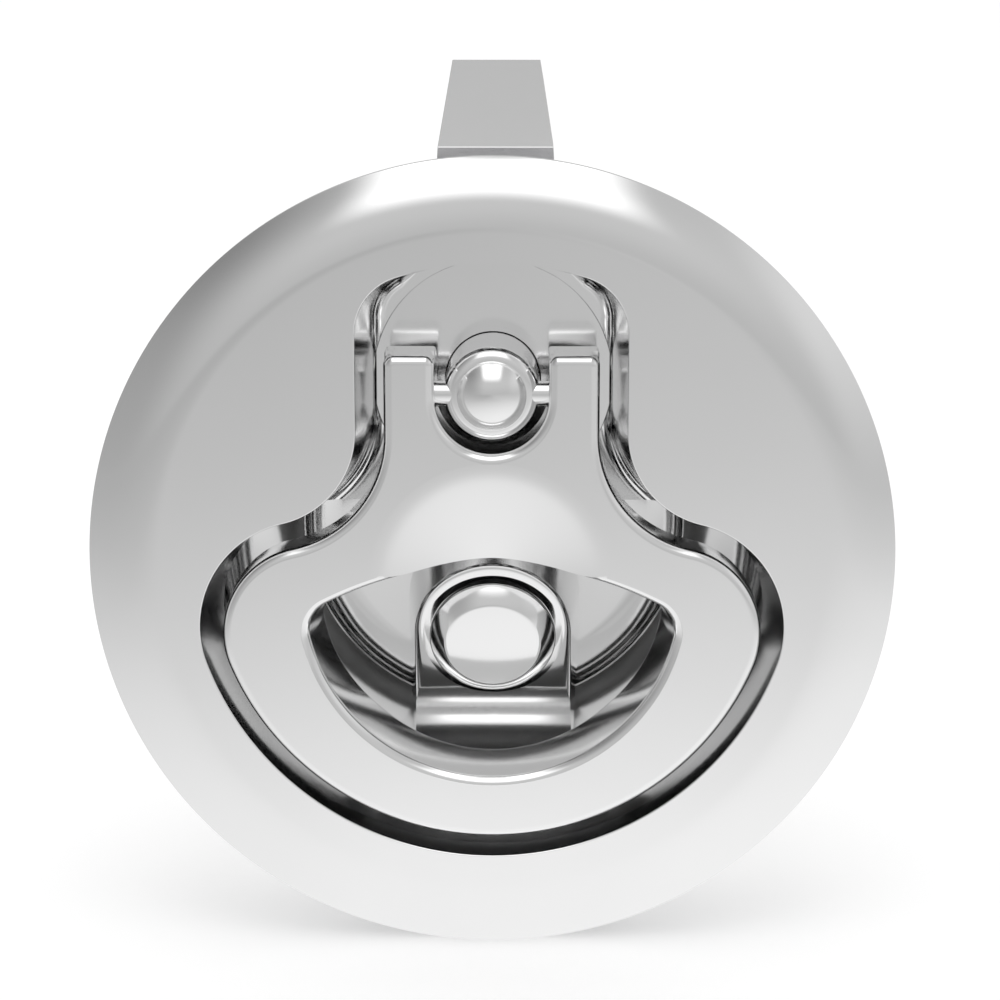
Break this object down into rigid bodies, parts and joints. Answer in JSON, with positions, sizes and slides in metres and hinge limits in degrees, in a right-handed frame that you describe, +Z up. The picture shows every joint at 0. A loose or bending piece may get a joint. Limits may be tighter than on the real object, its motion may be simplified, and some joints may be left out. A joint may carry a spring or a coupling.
{
  "type": "compression latch",
  "caption": "Round flush lift-and-turn compression latch: recessed lift handle with cam heels on a cross pin, sliding shaft with a bent pawl, clamped in a panel by a ring nut.",
  "frame": {"origin": "on the flange axis, in the plane where the flange seats on the panel", "axes": "+Y runs back through the panel along the shaft, +Z is up towards the pawl's tip, +X is right seen from the front"},
  "size_m": [0.076, 0.043, 0.0822],
  "materials": {
    "polished_steel": "mirror-polished stainless steel",
    "plain_steel": "plain turned stainless steel",
    "spring_steel": "drawn stainless spring wire",
    "seal_rubber": "matt black nitrile rubber",
    "bush_bronze": "sintered bronze"
  },
  "bodies": {
    "case": {"housing": "polished_steel", "flange_gasket": "seal_rubber", "backing_washer": "plain_steel", "ring_nut": "plain_steel", "wear_plate": "polished_steel", "shaft_bush": "bush_bronze", "shaft_seal": "seal_rubber", "stop_pins": "plain_steel", "blank_plug": "polished_steel", "plug_seal": "seal_rubber", "return_spring": "spring_steel"},
    "shaft": {"pivot_shaft": "polished_steel", "pivot_pin": "plain_steel", "stop_washer": "plain_steel", "front_nut": "plain_steel", "front_lock_washer": "plain_steel", "pawl": "polished_steel", "rear_lock_washer": "plain_steel", "rear_nut": "plain_steel"},
    "handle": {"lift_handle": "polished_steel"}
  },
  "joints": [
    {"name": "shaft_slide", "type": "slide", "parent": "case", "child": "shaft", "axis": [0, 1, 0], "range_m": [0, 0.004], "deforming": ["return_spring"]},
    {"name": "handle_lift", "type": "hinge", "parent": "shaft", "child": "handle", "pos_m": [0, -0.0011, 0.0159], "axis": [-1, 0, 0], "range_deg": [0, 90]}
  ],
  "couplings": [
    {"joint": "handle_lift", "follows": "shaft_slide", "rad_per_m": 392.7}
  ]
}
